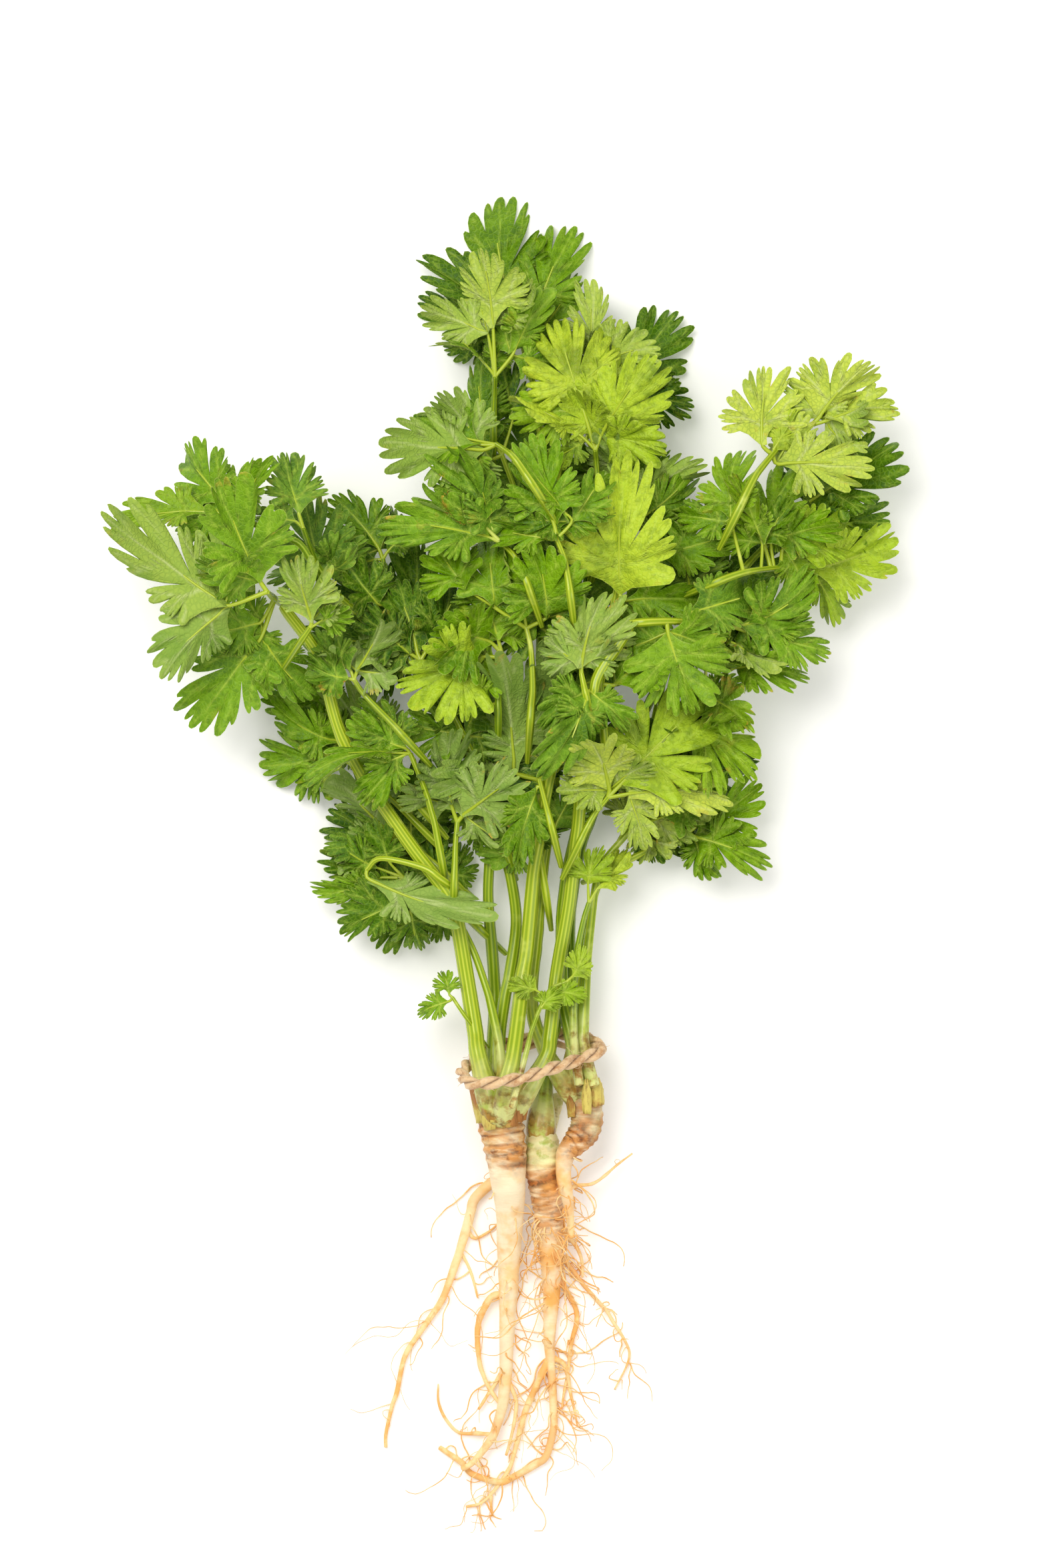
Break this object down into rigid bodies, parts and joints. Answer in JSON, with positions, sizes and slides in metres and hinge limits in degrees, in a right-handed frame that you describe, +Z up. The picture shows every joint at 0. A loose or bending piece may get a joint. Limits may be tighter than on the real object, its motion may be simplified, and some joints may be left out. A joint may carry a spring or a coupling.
{
  "type": "bunch of coriander",
  "caption": "Bunch of fresh whole coriander with roots, stems and leaves, tied once round with twisted plant-fibre twine, lying on its side.",
  "frame": {"origin": "middle of the bunch's footprint, on the surface it lies on", "axes": "+Y along the bunch from the root tips to the leaf tips, +X across it, +Z up from the surface it lies on"},
  "size_m": [0.2238, 0.3782, 0.0611],
  "materials": {
    "leaf_green": "satin upper side of a fresh leaf, mid green",
    "leaf_deep_green": "satin upper side of a fresh leaf, deep green",
    "leaf_pale_green": "matte underside of a leaf, pale grey-green",
    "leaf_yellow_green": "satin young or fading leaf, yellow-green",
    "stem": "satin ribbed stem, light green",
    "root": "matte washed root, cream with brown rings",
    "twine": "rough two-ply plant-fibre twine, tan"
  },
  "bodies": {
    "root": {"root_left": "root", "root_middle": "root", "root_right": "root", "root_hidden": "root", "stem_left_outer": "stem", "stem_left_centre": "stem", "stem_left_crossing": "stem", "stem_left_long": "stem", "stem_left_low": "stem", "stem_middle_low": "stem", "stem_right_crossing": "stem", "stem_right_tall": "stem", "leaf_under_right": "leaf_deep_green", "leaf_under_left": "leaf_deep_green", "leaf_under_left_top": "leaf_deep_green", "leaf_under_right_top": "leaf_deep_green", "leaf_under_top": "leaf_deep_green", "leaf_top_back": "leaf_green", "leaf_top_right_back": "leaf_deep_green", "leaf_right_back": "leaf_deep_green", "leaf_left_inner": "leaf_deep_green", "leaf_shade_left": "leaf_deep_green", "leaf_low_left_back": "leaf_green", "leaf_low_left": "leaf_green", "leaf_blue_left": "leaf_pale_green", "leaf_small_left": "leaf_green", "leaf_far_right_low": "leaf_green", "leaf_right_lower": "leaf_green", "leaf_pale_centre": "leaf_pale_green", "leaf_upper_shade": "leaf_deep_green", "leaf_top_right": "leaf_pale_green", "leaf_top_round": "leaf_pale_green", "leaf_right_mid": "leaf_green", "leaf_grey_right": "leaf_pale_green", "leaf_bright_small": "leaf_yellow_green", "leaf_fork": "leaf_pale_green", "leaf_left_stalk": "leaf_green", "leaf_fold_left": "leaf_pale_green", "leaf_centre_down": "leaf_deep_green", "leaf_right_low": "leaf_pale_green", "leaf_withered": "leaf_pale_green", "leaf_inner_high": "leaf_pale_green", "leaf_left_high": "leaf_green", "leaf_pale_upper_left": "leaf_pale_green", "leaf_left_far": "leaf_pale_green", "leaf_bright_centre": "leaf_yellow_green", "leaf_green_centre": "leaf_deep_green", "leaf_olive_left": "leaf_pale_green", "leaf_centre_top": "leaf_green", "leaf_upper_left": "leaf_green", "leaf_top_pale": "leaf_pale_green", "leaf_yellow_top": "leaf_yellow_green", "leaf_olive": "leaf_pale_green", "leaf_yellow_centre": "leaf_yellow_green", "leaf_big_right": "leaf_green", "leaf_right_fan": "leaf_green", "leaf_right_top": "leaf_pale_green", "shoot_front": "leaf_yellow_green", "shoot_left": "leaf_yellow_green", "twine_tie": "twine"}
  },
  "joints": []
}
